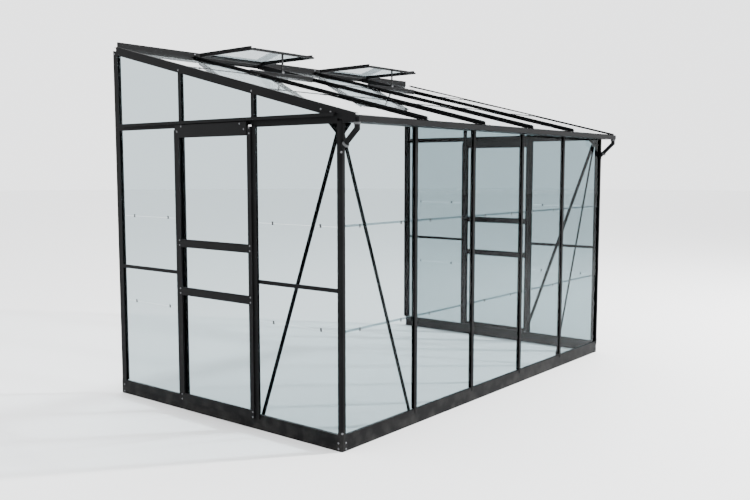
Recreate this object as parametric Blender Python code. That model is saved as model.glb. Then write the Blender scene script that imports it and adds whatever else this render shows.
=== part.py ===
"""Lean-to garden greenhouse: aluminium glazing bars on a sheet base, glass on the front, both gables
and the single-pitch roof, a sliding door in each gable and two roof vents propped open.

Metres, +Z up. X runs along the house wall and is the axis of symmetry, +Y points at the wall, and the
origin is at ground level in the middle of the footprint.
"""
import math

import bpy
import bmesh
from mathutils import Matrix, Vector

# ---- overall sizes ----
LENGTH = 3.185              # along the wall, over the base
DEPTH = 1.943               # from the front of the base to the house wall
BASE_HEIGHT = 0.088
RAIL_TOP = 1.772            # top of the rails across the gables
ROOF_SLOPE = 0.25           # rise over run
ROOF_ABOVE_RAIL = 0.019     # roof line over the front plane, above the rail tops
GLASS_OVERHANG = 0.106      # how far the roof's glass runs past the front plane
RAFTER_OVERHANG = 0.098
ROOF_BAR_OVERHANG = 0.071
FRONT_BAY = 0.622           # pitch of the bars in the front and the roof
FRONT_BARS = 4
FRONT_JAMB = 0.652          # front plane to the door's front jamb
DOOR_BAY = 0.631            # between the two door jambs

# ---- clearances ----
GAP = 0.0003                # between pieces that touch
GLASS_PLAY = 0.0015         # glass edge to the rib beside it
DOOR_DROP = 0.005           # door top to the track's lip
DOOR_STANDOFF = 0.006       # gable plane to the door's inner face
CUT_MARGIN = 0.040          # how far a cutter runs past what it cuts

# ---- glazing bar section, depths from the face of the cap ----
CAP_WIDTH = 0.026
CAP = 0.003
SLOT = 0.007                # room for lapped glass between cap and wing
RIB = 0.005
WING_WIDTH = 0.030
WING = 0.002
CHANNEL_WIDTH = 0.020
BAR_DEPTH = 0.026
BAR_RECESS = 0.002          # base face to the cap's face
GLASS = 0.003
SHEET = 0.003               # wall of the base, rails, gutter and ridge

# ---- base, posts, rails ----
SILL_WIDTH = 0.020
BASE_CORNER_RADIUS = 0.011
POST_PROUD = 0.003          # corner post beyond the base faces
POST_FACE = 0.026
POST_ROOT = 0.0145          # outer planes to the web between the two glass slots
POST_BOX = 0.040            # outer planes to the inner faces of the post's box
POST_SKIRT = 0.020          # how far the post laps down over the base
WALL_POST_FACE = 0.046
WALL_POST_DEPTH = 0.034
WALL_POST_WEB = 0.036       # wall to the web that stops the glass
RAIL_HEIGHT = 0.040
RAIL_STEP = 0.014           # extra depth of the rail ahead of the door
RAIL_DEPTH = 0.0015         # gable plane to the rail's outer face
TRACK_REACH = 0.030
TRACK_DROP = 0.018
GUSSET_TIP = 0.105          # corner to the gusset's far edge
GUSSET_EDGE = 0.012
GUSSET_DROP = 0.090
GUSSET_THICK = 0.003
GUSSET_DEPTH = 0.0225       # from the wall's face to the gusset's outer face
MUNTIN_Z = 0.855            # middle of the cross bars in the gables
MUNTIN_HEIGHT = 0.022
BRACE_WIDTH = 0.025
BRACE_THICK = 0.003
BRACE_DEPTH = POST_BOX + GAP
BRACE_FOOT_Z = BASE_HEIGHT - 0.012
BRACE_TOP_Z = RAIL_TOP - 0.092
BRACE_TOP_OUT = 0.058       # from the corner to the brace's top end
BRACE_FOOT_CLEAR = 0.014    # from the middle of the next bar to the brace's foot

# ---- roof edges ----
RAFTER_WEB_HEIGHT = 0.051
RAFTER_PROUD = 0.004
RAFTER_FLANGE = 0.0235
RAFTER_BOX_DROP = 0.004     # underside of the rafter's box below the backs of the bars
RAFTER_BOX = BAR_DEPTH + RAFTER_BOX_DROP
RAFTER_SETBACK = 0.040      # rafter's upper end to the house wall
GUTTER_REACH = 0.118
GUTTER_TOP = RAIL_TOP - 0.019
GUTTER_FLOOR = GUTTER_TOP - 0.031
EAVES_UNDERSIDE = GUTTER_FLOOR + 0.009
EAVES_DEPTH = 0.026
BEAM_SETBACK = POST_BOX + GAP   # end of the eaves beam inside the gable plane
GUTTER_END_DROP = 0.005     # end plate below the trough's lip
RIDGE_DEPTH = 0.014
RIDGE_RISE = 0.026          # roof line at the house wall to the ridge's top
RIDGE_HEIGHT = 0.055
RIDGE_INSET = 0.033
OUTLET_RADIUS = 0.015
OUTLET_IN = 0.0095
OUTLET_OUT = 0.098
OUTLET_KNEE_Z = GUTTER_FLOOR - 0.033
OUTLET_END_Z = OUTLET_KNEE_Z - 0.089

# ---- sliding doors ----
DOOR_LAP = (0.036, 0.044)   # closed door past the middles of its front and rear jambs
DOOR_BOTTOM = BASE_HEIGHT - 0.023
DOOR_THICK = 0.016
DOOR_STILE = 0.061
DOOR_STILE_DROP = 0.027     # door top to the tops of its stiles
DOOR_FLANGE = 0.030         # thin outer part of each stile
DOOR_FLANGE_THICK = 0.006
DOOR_KICK_TOP = BASE_HEIGHT + 0.023
DOOR_MID_RAILS = ((0.723, 0.771), (1.016, 1.064))
DOOR_HEADER = 0.076
HEADER_THICK = 0.003
HEADER_CHAMFER = 0.020
DOOR_REBATE = 0.008
DOOR_GLASS_IN = 0.004       # depth of the rebate in the door's back
HEADER_END = 0.024          # door edge to the end of the header plate
HANGER_IN = 0.090           # door edge to its roller
ROLLER_RADIUS = 0.005
ROLLER_WIDTH = 0.008
ROLLER_PLAY = 0.0015
STRAP_THICK = 0.003

# ---- roof vents ----
VENT_BAYS = (1, 3)          # counted from the left, the first bay is 0
VENT_HINGE = 0.060          # wall to the hinge line
VENT_HINGE_RISE = 0.007     # roof line to the underside of the vent at its hinge
VENT_LENGTH = 0.528
VENT_WIDTH = FRONT_BAY - 0.016
VENT_OPENING = math.radians(14.7)
VENT_SIDE = (0.014, 0.027)
VENT_RAIL = (0.020, 0.012)
VENT_SIDE_END = 0.017       # lower edge of the lower rail to the ends of the side members
VENT_STAY_BACK = 0.020      # lower edge of the lower rail to the stay
VENT_SILL = (0.025, 0.026)
VENT_SILL_RISE = 0.012
VENT_STAY = (0.018, 0.004)

# ---- derived places ----
HALF = LENGTH / 2
WALL_Y = (DEPTH + GUTTER_REACH) / 2
FRONT_Y = WALL_Y - DEPTH
ROOF_AT_FRONT = RAIL_TOP + ROOF_ABOVE_RAIL
PITCH = math.atan(ROOF_SLOPE)
GLASS_DEPTH = CAP + SLOT - GLASS - GAP      # outer face of the glass below the cap's face
JAMBS = (FRONT_Y + FRONT_JAMB, FRONT_Y + FRONT_JAMB + DOOR_BAY)
BARS_X = [(i - (FRONT_BARS - 1) / 2) * FRONT_BAY for i in range(FRONT_BARS)]
DOOR_TOP = RAIL_TOP - TRACK_DROP - DOOR_DROP
DOOR_EDGES = (JAMBS[0] - DOOR_LAP[0], JAMBS[1] + DOOR_LAP[1])
RIDGE_TOP = ROOF_AT_FRONT + ROOF_SLOPE * DEPTH + RIDGE_RISE
TROUGH_BACK = POST_PROUD + 2 * GAP          # front plane to the trough's back
RAIL_START = POST_FACE + GAP
VENT_SILL_Y = WALL_Y - VENT_HINGE - VENT_LENGTH + VENT_STAY_BACK - VENT_SILL[0] / 2
SIDES = (("left", -1), ("right", 1))

FRAME_COLOUR = (0.020, 0.021, 0.023, 1)
DOOR_COLOUR = (0.030, 0.031, 0.033, 1)
GLASS_COLOUR = (0.70, 0.78, 0.80, 1)


def roof_z(y, below=0.0):
    """Height of the roof line at y, less a distance measured square to the slope."""
    return ROOF_AT_FRONT + ROOF_SLOPE * (y - FRONT_Y) - below / math.cos(PITCH)


# ---- making and placing ----
def finish_material(name, colour, roughness, transmission=0.0):
    material = bpy.data.materials.new(name)
    material.use_nodes = True
    shader = material.node_tree.nodes["Principled BSDF"]
    shader.inputs["Base Color"].default_value = colour
    shader.inputs["Roughness"].default_value = roughness
    shader.inputs["Metallic"].default_value = 0.0
    shader.inputs["Transmission Weight"].default_value = transmission
    return material


def coated(name, colour=FRAME_COLOUR):
    return finish_material(name + "_coating", colour, 0.42)


def glazed(name):
    return finish_material(name + "_pane", GLASS_COLOUR, 0.04, transmission=0.9)


def add_object(name, bm, material):
    """Make an object of a bmesh; one without a material is a tool that never shows."""
    bmesh.ops.recalc_face_normals(bm, faces=bm.faces)
    mesh = bpy.data.meshes.new(name)
    bm.to_mesh(mesh)
    bm.free()
    obj = bpy.data.objects.new(name, mesh)
    bpy.context.scene.collection.objects.link(obj)
    if material:
        mesh.materials.append(material)
    else:
        obj.hide_render = True
        obj.display_type = "WIRE"
    return obj


def extrude(name, outline, origin, axes, end, material=None, start=0.0):
    """Extrude an outline of (a, b) points, laid out from origin along the first two of three axes.

    start and end are distances along the third axis, or functions of (a, b) where a cap is cut at a
    slope. A left-handed set of axes is handled by drawing the outline from the other side.
    """
    u, v, along = (Vector(axis).normalized() for axis in axes)
    flip = -1 if u.cross(v).dot(along) < 0 else 1
    first, last = (value if callable(value) else (lambda a, b, value=value: value)
                   for value in (start, end))
    bm = bmesh.new()
    face = bm.faces.new([bm.verts.new((flip * a, b, first(a, b))) for a, b in outline])
    grown = bmesh.ops.extrude_face_region(bm, geom=[face])["geom"]
    for vert in (item for item in grown if isinstance(item, bmesh.types.BMVert)):
        vert.co.z = last(flip * vert.co.x, vert.co.y)
    obj = add_object(name, bm, material)
    turn = Matrix((flip * u, v, along)).transposed().to_4x4()
    obj.matrix_world = Matrix.Translation(origin) @ turn
    return obj


def box(name, low, high, material=None):
    """Make a box between two corners, with its object at the middle of its underside."""
    size = [h - l for l, h in zip(low, high)]
    bm = bmesh.new()
    bmesh.ops.create_cube(bm, size=1.0)
    bmesh.ops.scale(bm, verts=bm.verts, vec=size)
    bmesh.ops.translate(bm, verts=bm.verts, vec=(0, 0, size[2] / 2))
    obj = add_object(name, bm, material)
    obj.location = ((low[0] + high[0]) / 2, (low[1] + high[1]) / 2, low[2])
    return obj


def combine(obj, tool, operation):
    """Keep a live exact Boolean with a tool that rides on the object and never shows."""
    bpy.context.view_layer.update()
    tool.parent = obj
    tool.matrix_parent_inverse = obj.matrix_world.inverted()
    tool.hide_render = True
    tool.display_type = "WIRE"
    modifier = obj.modifiers.new(tool.name, "BOOLEAN")
    modifier.operation = operation
    modifier.solver = "EXACT"
    modifier.object = tool


def cut(obj, *tools):
    for tool in tools:
        combine(obj, tool, "DIFFERENCE")


def fuse(obj, *tools):
    for tool in tools:
        combine(obj, tool, "UNION")


# ---- places on a gable: out is away from the house, y along it ----
def gable_x(sign, depth):
    return sign * (HALF - depth)


def gable_axes(sign):
    """Outline axes on a gable, towards the wall and into the house, and the upright axis."""
    return (0, 1, 0), (-sign, 0, 0), (0, 0, 1)


def gable_plate(name, sign, outline, depth, thickness, material=None):
    """Plate lying in a gable, its outline in (y, z) and its outer face at a depth."""
    return extrude(name, outline, (gable_x(sign, depth), 0, 0), ((0, 1, 0), (0, 0, 1), (-sign, 0, 0)),
                   thickness, material)


def gable_box(name, sign, y_range, z_range, depths, material=None):
    xs = sorted(gable_x(sign, depth) for depth in depths)
    return box(name, (xs[0], y_range[0], z_range[0]), (xs[1], y_range[1], z_range[1]), material)


# ---- sections ----
def bar_section(recess=0.0):
    """Section of a glazing bar: cap outside, rib through the glass, wings and bolt channel inside."""
    levels = ((CAP_WIDTH, 0.0, CAP), (RIB, CAP, CAP + SLOT), (WING_WIDTH, CAP + SLOT, CAP + SLOT + WING),
              (CHANNEL_WIDTH, CAP + SLOT + WING, BAR_DEPTH))
    half = [(width / 2, recess + depth) for width, start, end in levels for depth in (start, end)]
    return half + [(-a, d) for a, d in reversed(half)]


def sill_section():
    """Channel of the base: upright web outside, flanges pointing into the house."""
    top = BASE_HEIGHT - SHEET
    return [(0, 0), (SILL_WIDTH, 0), (SILL_WIDTH, SHEET), (SHEET, SHEET), (SHEET, top),
            (SILL_WIDTH, top), (SILL_WIDTH, BASE_HEIGHT), (0, BASE_HEIGHT)]


def rounded_nose(radius, inset, steps=6):
    """Quarter round from the side face to the front face of a corner, both faces at inset."""
    centre = inset + radius
    return [(centre - radius * math.cos(t), centre - radius * math.sin(t))
            for t in (math.pi / 2 * i / steps for i in range(steps + 1))]


def corner_post_section():
    """Round-nosed cover of the corner post, from the two outer planes, over both glass slots."""
    cap = BAR_RECESS + CAP
    arm = [(POST_FACE, -POST_PROUD), (POST_FACE, cap), (POST_ROOT, cap)]
    return rounded_nose(BASE_CORNER_RADIUS + POST_PROUD, -POST_PROUD) + arm + \
        [(POST_ROOT, POST_ROOT)] + [(b, a) for a, b in reversed(arm)]


def square(low, high):
    return [(low, low), (high, low), (high, high), (low, high)]


def wall_post_section():
    """Channel on the house wall, drawn from the wall towards the front, with its glass slot."""
    cap = BAR_RECESS + CAP
    wing = cap + SLOT
    web = WALL_POST_WEB - SHEET
    points = [(0, BAR_RECESS), (WALL_POST_FACE, BAR_RECESS), (WALL_POST_FACE, cap), (WALL_POST_WEB, cap),
              (WALL_POST_WEB, wing), (WALL_POST_FACE, wing), (WALL_POST_FACE, wing + WING),
              (WALL_POST_WEB, wing + WING), (WALL_POST_WEB, WALL_POST_DEPTH), (web, WALL_POST_DEPTH),
              (web, cap), (SHEET, cap), (SHEET, WALL_POST_DEPTH), (0, WALL_POST_DEPTH)]
    return [(-a, d) for a, d in points]


def rafter_section():
    """End rafter: fascia outside, top flange over the glass edge, and a box that the gable meets."""
    inner = RAFTER_FLANGE - RAFTER_PROUD
    face = -RAFTER_PROUD
    back = face + SHEET
    return [(face, 0), (inner, 0), (inner, CAP), (back, CAP), (back, CAP + SLOT), (inner, CAP + SLOT),
            (inner, RAFTER_BOX), (back, RAFTER_BOX), (back, RAFTER_WEB_HEIGHT), (face, RAFTER_WEB_HEIGHT)]


def beam_top(y, above=0.0):
    """Top of the eaves beam, which carries the undersides of the roof bars."""
    return y, roof_z(FRONT_Y + y, BAR_DEPTH + GAP) + above


def eaves_section():
    """Gutter trough and eaves beam in one section, from the front plane and the ground."""
    back = -TROUGH_BACK
    lip = -GUTTER_REACH + SHEET
    return [(-GUTTER_REACH, GUTTER_FLOOR), (back, GUTTER_FLOOR), (back, EAVES_UNDERSIDE),
            (EAVES_DEPTH, EAVES_UNDERSIDE), beam_top(EAVES_DEPTH), beam_top(back - SHEET),
            (back - SHEET, GUTTER_FLOOR + SHEET), (lip, GUTTER_FLOOR + SHEET), (lip, GUTTER_TOP),
            (-GUTTER_REACH, GUTTER_TOP)]


def eaves_room():
    """Outline that the end rafters leave free for the gutter and the eaves beam."""
    inner = EAVES_DEPTH + GAP
    back = -TROUGH_BACK - SHEET - GAP
    low = GUTTER_FLOOR - GAP
    return [(-GUTTER_REACH - GAP, low), (inner, low), beam_top(inner, GAP), beam_top(back, GAP),
            (back, GUTTER_TOP + GAP), (-GUTTER_REACH - GAP, GUTTER_TOP + GAP)]


# ---- base and posts ----
def build_base():
    """Front sill with round corners, hollowed from the inside, and a plain channel at each end."""
    nose = rounded_nose(BASE_CORNER_RADIUS, 0.0)
    plan = [(x - HALF, y) for x, y in nose] + [(HALF - x, y) for x, y in reversed(nose)]
    plan += [(HALF, SILL_WIDTH), (-HALF, SILL_WIDTH)]
    front = extrude("base_front", plan, (0, FRONT_Y, 0), ((1, 0, 0), (0, 1, 0), (0, 0, 1)), BASE_HEIGHT,
                    coated("base_front"))
    reach = HALF - BASE_CORNER_RADIUS - SHEET
    cut(front, box("base_front_hollow", (-reach, FRONT_Y + SHEET, SHEET),
                   (reach, FRONT_Y + SILL_WIDTH + CUT_MARGIN, BASE_HEIGHT - SHEET)))
    start = FRONT_Y + SILL_WIDTH + GAP
    for side, sign in SIDES:
        name = "base_" + side
        extrude(name, sill_section(), (sign * HALF, start, 0), ((-sign, 0, 0), (0, 0, 1), (0, 1, 0)),
                WALL_Y - start, coated(name))


def build_corner_post(side, sign):
    """Corner post: a cover that laps down over the base, a hollow box behind the glass, two gussets."""
    name = "corner_post_" + side
    corner = sign * HALF, FRONT_Y
    axes = (-sign, 0, 0), (0, 1, 0), (0, 0, 1)
    bottom = BASE_HEIGHT - POST_SKIRT
    top = EAVES_UNDERSIDE - GAP
    root = BAR_RECESS + CAP + SLOT
    foot = BASE_HEIGHT + GAP
    head = roof_z(FRONT_Y + EAVES_DEPTH, RAFTER_BOX + GAP)
    post = extrude(name, corner_post_section(), (*corner, bottom), axes, top - bottom, coated(name))
    triangle = [(root, top), (GUSSET_TIP, top), (GUSSET_TIP, top - GUSSET_EDGE),
                (POST_FACE, top - GUSSET_DROP), (root, top - GUSSET_DROP)]
    across_front = extrude(name + "_front_gusset", triangle, (corner[0], FRONT_Y + GUSSET_DEPTH, 0),
                           ((-sign, 0, 0), (0, 0, 1), (0, 1, 0)), GUSSET_THICK)
    along_gable = gable_plate(name + "_gable_gusset", sign, [(FRONT_Y + a, z) for a, z in triangle],
                              GUSSET_DEPTH, GUSSET_THICK)
    tube = extrude(name + "_box", square(root, POST_BOX), (*corner, foot), axes, head - foot)
    fuse(post, tube, across_front, along_gable)
    hollow = extrude(name + "_hollow", square(root + SHEET, POST_BOX - SHEET), (*corner, 0), axes,
                     head + CUT_MARGIN)
    skirt = [(-GAP + a, -GAP + b) for a, b in rounded_nose(BASE_CORNER_RADIUS + GAP, 0.0)]
    skirt += [(2 * POST_FACE, -GAP), (2 * POST_FACE, 2 * POST_FACE), (-GAP, 2 * POST_FACE)]
    base_room = extrude(name + "_base_room", skirt, (*corner, bottom - SHEET), axes,
                        POST_SKIRT + SHEET + GAP)
    cut(post, hollow, base_room)


def build_wall_post(side, sign):
    name = "wall_post_" + side
    bottom = BASE_HEIGHT + GAP
    extrude(name, wall_post_section(), (sign * HALF, WALL_Y, bottom), gable_axes(sign),
            lambda a, d: roof_z(WALL_Y + a, RAFTER_BOX + GAP) - bottom, coated(name))


# ---- glazing bars ----
def build_front_bar(index, x):
    name = f"front_bar_{index + 1}"
    bottom = BASE_HEIGHT + GAP
    extrude(name, bar_section(BAR_RECESS), (x, FRONT_Y, bottom), ((1, 0, 0), (0, 1, 0), (0, 0, 1)),
            EAVES_UNDERSIDE - GAP - bottom, coated(name))


def build_jamb(side, sign, place, y):
    """Gable bar beside the doorway, up to the rafter, with its cap cut away behind the rail."""
    name = f"gable_bar_{side}_{place}"
    bottom = BASE_HEIGHT + GAP
    bar = extrude(name, bar_section(BAR_RECESS), (sign * HALF, y, bottom), gable_axes(sign),
                  lambda a, d: roof_z(y + a, RAFTER_BOX + GAP) - bottom, coated(name))
    low = RAIL_TOP - RAIL_HEIGHT - RAIL_STEP - GAP
    cut(bar, gable_box(name + "_rail_room", sign, (y - CAP_WIDTH, y + CAP_WIDTH), (low, RAIL_TOP + GAP),
                       (-CAP, RAIL_DEPTH + SHEET + GAP)))


def slope_extrude(name, outline, x, across, start, end, material=None):
    """Run a section up the roof between two plumb cuts; its depth is measured square to the slope."""
    up = Vector((0, math.cos(PITCH), math.sin(PITCH)))
    down = Vector((0, math.sin(PITCH), -math.cos(PITCH)))

    def plumb(y):
        return lambda a, b: (y - start - b * math.sin(PITCH)) / math.cos(PITCH)
    return extrude(name, outline, (x, start, roof_z(start)), (across, down, up), plumb(end), material,
                   start=plumb(start))


def build_roof_bar(index, x):
    name = f"roof_bar_{index + 1}"
    start = FRONT_Y - ROOF_BAR_OVERHANG
    end = WALL_Y - RIDGE_DEPTH - GAP
    slope_extrude(name, bar_section(), x, (1, 0, 0), start, end, coated(name))


def build_rafter(side, sign):
    """End rafter, trimmed over the gutter and the eaves beam and over the front end of the rail."""
    name = "rafter_" + side
    rafter = slope_extrude(name, rafter_section(), sign * HALF, (-sign, 0, 0), FRONT_Y - RAFTER_OVERHANG,
                           WALL_Y - RAFTER_SETBACK, coated(name))
    gutter_room = extrude(name + "_eaves_room", eaves_room(), (sign * (HALF + GAP), FRONT_Y, 0),
                          ((0, 1, 0), (0, 0, 1), (-sign, 0, 0)), RAFTER_FLANGE + CUT_MARGIN)
    rail_start = FRONT_Y + RAIL_START
    rail_room = gable_box(name + "_rail_room", sign, (rail_start - GAP, JAMBS[1]),
                          (RAIL_TOP - RAIL_HEIGHT, RAIL_TOP + GAP),
                          (-RAFTER_PROUD - CUT_MARGIN, RAFTER_FLANGE + CUT_MARGIN))
    outlet_room = gable_box(name + "_outlet_room", sign, (FRONT_Y - RAFTER_OVERHANG - CUT_MARGIN, FRONT_Y),
                            (GUTTER_FLOOR - CUT_MARGIN, GUTTER_FLOOR),
                            (-RAFTER_PROUD - CUT_MARGIN, RAFTER_FLANGE + CUT_MARGIN))
    cut(rafter, gutter_room, rail_room, outlet_room)


# ---- rails, eaves and ridge ----
def build_gable_rail(side, sign):
    """Rail across a gable, deeper ahead of the doorway, with the door's track along its top."""
    name = "gable_rail_" + side
    low = RAIL_TOP - RAIL_HEIGHT
    front = FRONT_Y + RAIL_START
    rear = WALL_Y - WALL_POST_FACE - GAP
    step = JAMBS[0] - CAP_WIDTH / 2
    web = gable_plate(name, sign, [(front, low - RAIL_STEP), (step, low - RAIL_STEP), (step, low),
                                   (rear, low), (rear, RAIL_TOP), (front, RAIL_TOP)],
                      RAIL_DEPTH, SHEET, coated(name))
    track = [(RAIL_DEPTH + SHEET, RAIL_TOP), (-TRACK_REACH, RAIL_TOP),
             (-TRACK_REACH, RAIL_TOP - TRACK_DROP), (-TRACK_REACH + SHEET, RAIL_TOP - TRACK_DROP),
             (-TRACK_REACH + SHEET, RAIL_TOP - SHEET), (RAIL_DEPTH + SHEET, RAIL_TOP - SHEET)]
    fuse(web, extrude(name + "_track", track, (sign * HALF, front, 0), ((-sign, 0, 0), (0, 0, 1),
                                                                       (0, 1, 0)), rear - front))


def build_gutter():
    """Trough and eaves beam in one length, with an end plate closing the trough at each gable."""
    name = "eaves_gutter"
    gutter = extrude(name, eaves_section(), (-HALF, FRONT_Y, 0), ((0, 1, 0), (0, 0, 1), (1, 0, 0)), LENGTH,
                     coated(name))
    for side, sign in SIDES:
        fuse(gutter, gable_box(f"{name}_{side}_end", sign,
                               (FRONT_Y - GUTTER_REACH, FRONT_Y - TROUGH_BACK),
                               (GUTTER_FLOOR, GUTTER_TOP - GUTTER_END_DROP), (0, SHEET)))
        cut(gutter, gable_box(f"{name}_{side}_post_room", sign,
                              (FRONT_Y - TROUGH_BACK + GAP, FRONT_Y + 2 * EAVES_DEPTH),
                              (EAVES_UNDERSIDE - SHEET, RAIL_TOP + CUT_MARGIN), (-SHEET, BEAM_SETBACK)))


def build_ridge():
    """Channel along the house wall that the roof bars and the roof glass butt against."""
    low = RIDGE_TOP - RIDGE_HEIGHT
    under = RIDGE_TOP - SHEET
    outline = [(-RIDGE_DEPTH, low), (-RIDGE_DEPTH + SHEET, low), (-RIDGE_DEPTH + SHEET, under),
               (-SHEET, under), (-SHEET, low), (0, low), (0, RIDGE_TOP), (-RIDGE_DEPTH, RIDGE_TOP)]
    extrude("ridge_bar", outline, (-HALF + RIDGE_INSET, WALL_Y, 0), ((0, 1, 0), (0, 0, 1), (1, 0, 0)),
            LENGTH - 2 * RIDGE_INSET, coated("ridge_bar"))


def mitred_tube(name, points, end_normal, radius, material, sides=16):
    """Tube through points, mitred at each knee and cut off along the last plane."""
    points = [Vector(point) for point in points]
    heads = [(b - a).normalized() for a, b in zip(points, points[1:])]
    normals = [heads[0]] + [(a + b).normalized() for a, b in zip(heads, heads[1:])]
    normals.append(Vector(end_normal).normalized())
    bm = bmesh.new()
    ring = bmesh.ops.create_circle(bm, cap_ends=False, radius=radius, segments=sides)["verts"]
    bmesh.ops.rotate(bm, verts=ring, matrix=Vector((0, 0, 1)).rotation_difference(heads[0]).to_matrix())
    bmesh.ops.translate(bm, verts=ring, vec=points[0])
    edges = list(bm.edges)
    bmesh.ops.contextual_create(bm, geom=edges)
    for point, head, normal in zip(points[1:], heads, normals[1:]):
        grown = bmesh.ops.extrude_edge_only(bm, edges=edges)["geom"]
        edges = [item for item in grown if isinstance(item, bmesh.types.BMEdge)]
        for vert in (item for item in grown if isinstance(item, bmesh.types.BMVert)):
            vert.co += head * ((point - vert.co).dot(normal) / head.dot(normal))
    bmesh.ops.contextual_create(bm, geom=edges)
    bmesh.ops.translate(bm, verts=bm.verts, vec=-points[0])
    tube = add_object(name, bm, material)
    tube.location = points[0]
    tube.data.shade_smooth()
    tube.data.set_sharp_from_angle(angle=math.radians(30))
    return tube


def build_outlet(side, sign):
    """Gutter outlet: down from the trough, a knee, then back to the face of the corner post."""
    x = gable_x(sign, OUTLET_IN)
    end_y = FRONT_Y - POST_PROUD - GAP
    mitred_tube("gutter_outlet_" + side, [(x, FRONT_Y - OUTLET_OUT, GUTTER_FLOOR - GAP),
                                          (x, FRONT_Y - OUTLET_OUT, OUTLET_KNEE_Z),
                                          (x, end_y, OUTLET_END_Z)],
                (0, 1, 0), OUTLET_RADIUS, coated("gutter_outlet_" + side))


# ---- cross pieces ----
def build_muntin(side, sign, place, start, end):
    """Flat bar across the glass of a gable bay, between the caps of its uprights."""
    name = f"muntin_{side}_{place}"
    gable_box(name, sign, (start + GAP, end - GAP),
              (MUNTIN_Z - MUNTIN_HEIGHT / 2, MUNTIN_Z + MUNTIN_HEIGHT / 2),
              (BAR_RECESS, BAR_RECESS + GLASS_DEPTH - GAP), coated(name))


def brace_outline(foot, top):
    """Strip between two points with square ends, drawn in the plane of its wall."""
    a, b = Vector(foot), Vector(top)
    across = (b - a).orthogonal().normalized() * BRACE_WIDTH / 2
    return [tuple(a - across), tuple(b - across), tuple(b + across), tuple(a + across)]


def build_braces(side, sign):
    """Flat diagonal strips inside the front and the gable, both rising to the corner post."""
    name = "brace_front_" + side
    end_bar = HALF - abs(BARS_X[0])
    outline = brace_outline((end_bar - BRACE_FOOT_CLEAR, BRACE_FOOT_Z), (BRACE_TOP_OUT, BRACE_TOP_Z))
    extrude(name, outline, (sign * HALF, FRONT_Y + BRACE_DEPTH, 0), ((-sign, 0, 0), (0, 0, 1), (0, 1, 0)),
            BRACE_THICK, coated(name))
    name = "brace_gable_" + side
    outline = brace_outline((FRONT_JAMB - BRACE_FOOT_CLEAR, BRACE_FOOT_Z), (BRACE_TOP_OUT, BRACE_TOP_Z))
    gable_plate(name, sign, [(FRONT_Y + a, z) for a, z in outline], BRACE_DEPTH, BRACE_THICK, coated(name))


# ---- glass ----
def build_front_glass():
    """One pane in each front bay, from rib to rib and from the base to the eaves beam."""
    edge = HALF - POST_ROOT
    ribs = [-edge] + BARS_X + [edge]
    for index, (left, right) in enumerate(zip(ribs, ribs[1:])):
        low = left + (RIB / 2 if index else 0) + GLASS_PLAY
        high = right - (RIB / 2 if index < FRONT_BARS else 0) - GLASS_PLAY
        name = f"front_glass_{index + 1}"
        depth = FRONT_Y + BAR_RECESS + GLASS_DEPTH
        box(name, (low, depth, BASE_HEIGHT + GAP), (high, depth + GLASS, EAVES_UNDERSIDE - GAP),
            glazed(name))


def build_roof_glass():
    """One pane in each roof bay; a pane under a vent stops at the vent's sill."""
    edge = HALF + RAFTER_PROUD - SHEET
    ribs = [-edge] + BARS_X + [edge]
    for index, (left, right) in enumerate(zip(ribs, ribs[1:])):
        low = left + (RIB / 2 if index else 0) + GLASS_PLAY
        high = right - (RIB / 2 if index < FRONT_BARS else 0) - GLASS_PLAY
        end = (VENT_SILL_Y - GAP) if index in VENT_BAYS else WALL_Y - RIDGE_DEPTH - GAP
        name = f"roof_glass_{index + 1}"
        outline = [(low, GLASS_DEPTH), (high, GLASS_DEPTH), (high, GLASS_DEPTH + GLASS),
                   (low, GLASS_DEPTH + GLASS)]
        slope_extrude(name, outline, 0, (1, 0, 0), FRONT_Y - GLASS_OVERHANG, end, glazed(name))


def build_gable_glass(side, sign):
    """Full-height panes in the bays beside the door, passing inside the rail, and one over the door."""
    depth = BAR_RECESS + GLASS_DEPTH
    play = RIB / 2 + GLASS_PLAY
    bottom = BASE_HEIGHT + GAP
    door_low = RAIL_TOP - RAIL_HEIGHT
    beam = FRONT_Y + RAIL_START
    front = FRONT_Y + POST_ROOT + GLASS_PLAY
    bays = {"front": [(front, bottom), (JAMBS[0] - play, bottom), (JAMBS[0] - play, None), (beam, None),
                      (beam, EAVES_UNDERSIDE - GAP), (front, EAVES_UNDERSIDE - GAP)],
            "middle": [(JAMBS[0] + play, door_low), (JAMBS[1] - play, door_low), (JAMBS[1] - play, None),
                       (JAMBS[0] + play, None)],
            "rear": [(JAMBS[1] + play, bottom), (WALL_Y - WALL_POST_WEB - GLASS_PLAY, bottom),
                     (WALL_Y - WALL_POST_WEB - GLASS_PLAY, None), (JAMBS[1] + play, None)]}
    for place, corners in bays.items():
        name = f"gable_glass_{side}_{place}"
        outline = [(y, roof_z(y, RAFTER_BOX + GAP) if z is None else z) for y, z in corners]
        gable_plate(name, sign, outline, depth, GLASS, glazed(name))


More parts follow.
